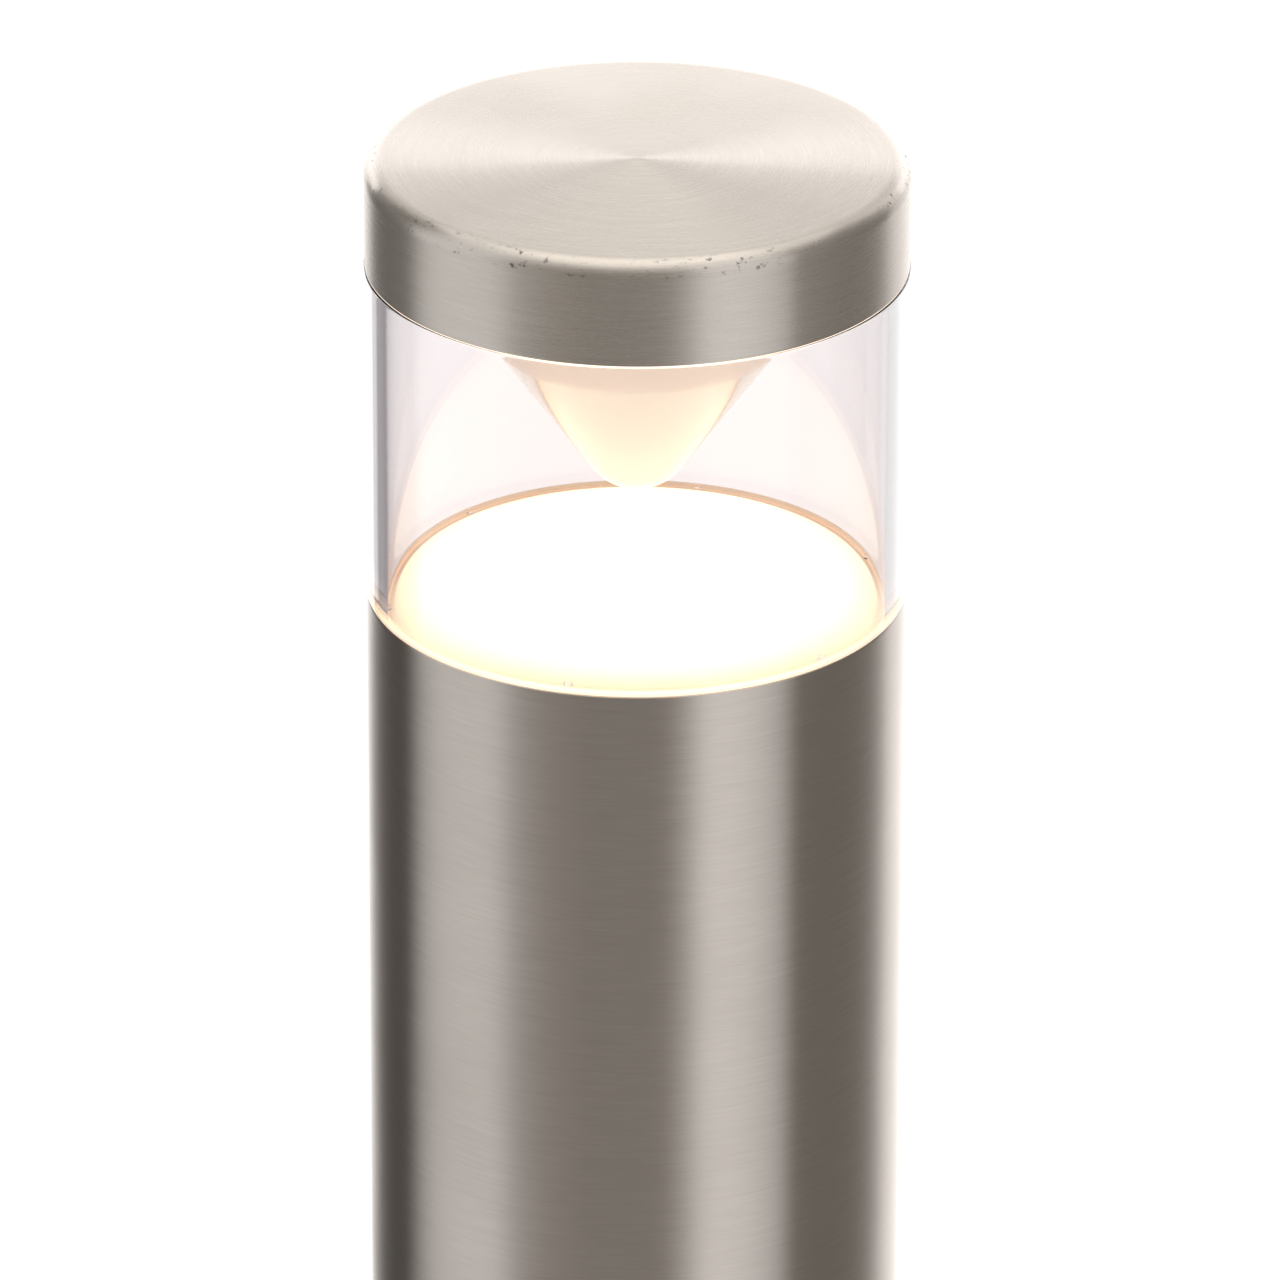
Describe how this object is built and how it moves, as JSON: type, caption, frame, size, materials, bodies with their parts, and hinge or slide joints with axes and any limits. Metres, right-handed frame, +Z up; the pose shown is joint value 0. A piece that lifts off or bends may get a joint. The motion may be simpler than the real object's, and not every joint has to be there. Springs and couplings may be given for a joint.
{
  "type": "bollard light",
  "caption": "Short round stainless garden light: bolted base, brushed tube post, lit disc under a clear cylinder with a white reflector cone, and a flat steel cap.",
  "frame": {"origin": "centre of the footprint, on the ground", "axes": "+Z up the post, -Y towards the front"},
  "size_m": [0.125, 0.125, 0.45],
  "materials": {
    "brushed_stainless": "brushed",
    "stainless_screw": "satin",
    "zinc_steel": "zinc plated",
    "clear_acrylic": "polished",
    "opal_acrylic": "satin, lit",
    "white_gloss": "gloss",
    "white_tray": "satin",
    "grey_silicone": "matt",
    "black_epdm": "matt",
    "grey_adhesive": "matt",
    "cast_aluminium": "as cast",
    "board_white": "solder mask",
    "led_phosphor": "lit",
    "white_nylon": "moulded",
    "black_nylon": "moulded",
    "driver_case": "fine textured",
    "board_green": "solder mask",
    "component_black": "moulded",
    "brass": "plain",
    "tin_copper": "tinned",
    "sleeve_brown": "cable sleeve",
    "sleeve_blue": "cable sleeve",
    "sleeve_green": "cable sleeve",
    "sleeve_black": "cable sleeve",
    "sleeve_white": "cable sleeve"
  },
  "bodies": {
    "base": {"base_gasket": "black_epdm", "base_flange": "brushed_stainless", "spigot_ring": "cast_aluminium", "cable_grommet": "black_epdm", "gear_bracket": "zinc_steel", "bracket_screws": "stainless_screw", "cable_saddle": "black_nylon", "saddle_screws": "stainless_screw", "terminal_block": "white_nylon", "terminal_sleeves": "brass", "terminal_screws": "zinc_steel", "block_screws": "stainless_screw", "driver_tray": "driver_case", "driver_cover": "driver_case", "driver_board": "board_green", "driver_components": "component_black", "driver_screws": "stainless_screw", "output_lead": "sleeve_black", "lead_socket": "black_nylon", "socket_clip": "zinc_steel", "clip_screws": "stainless_screw", "live_wire": "sleeve_brown", "neutral_wire": "sleeve_blue", "earth_wire": "sleeve_green", "earth_stud": "stainless_screw", "earth_lug": "tin_copper", "earth_nut": "stainless_screw"},
    "post": {"post_tube": "brushed_stainless", "clamp_screws": "stainless_screw", "clamp_nuts": "zinc_steel", "led_housing": "cast_aluminium", "lead_grommet": "black_epdm", "lens_gasket": "grey_silicone", "thermal_pad": "grey_adhesive", "led_board": "board_white", "led_chips": "led_phosphor", "board_connector": "white_nylon", "led_tray": "white_tray", "grip_ring": "grey_silicone", "tray_screws": "stainless_screw", "diffuser_disc": "opal_acrylic", "led_lead": "sleeve_black", "led_cores": "sleeve_white", "lead_plug": "black_nylon", "plug_pins": "brass"},
    "head": {"top_cap": "brushed_stainless", "cap_adhesive": "grey_adhesive", "cap_carrier": "cast_aluminium", "cap_screws": "stainless_screw", "upper_gasket": "grey_silicone", "lens_tube": "clear_acrylic", "reflector_cone": "white_gloss"}
  },
  "joints": [
    {"name": "post_lift", "type": "slide", "parent": "base", "child": "post", "axis": [0, 0, 1], "range_m": [0, 0.045]},
    {"name": "head_lift", "type": "slide", "parent": "post", "child": "head", "axis": [0, 0, 1], "range_m": [0, 0.03]}
  ]
}
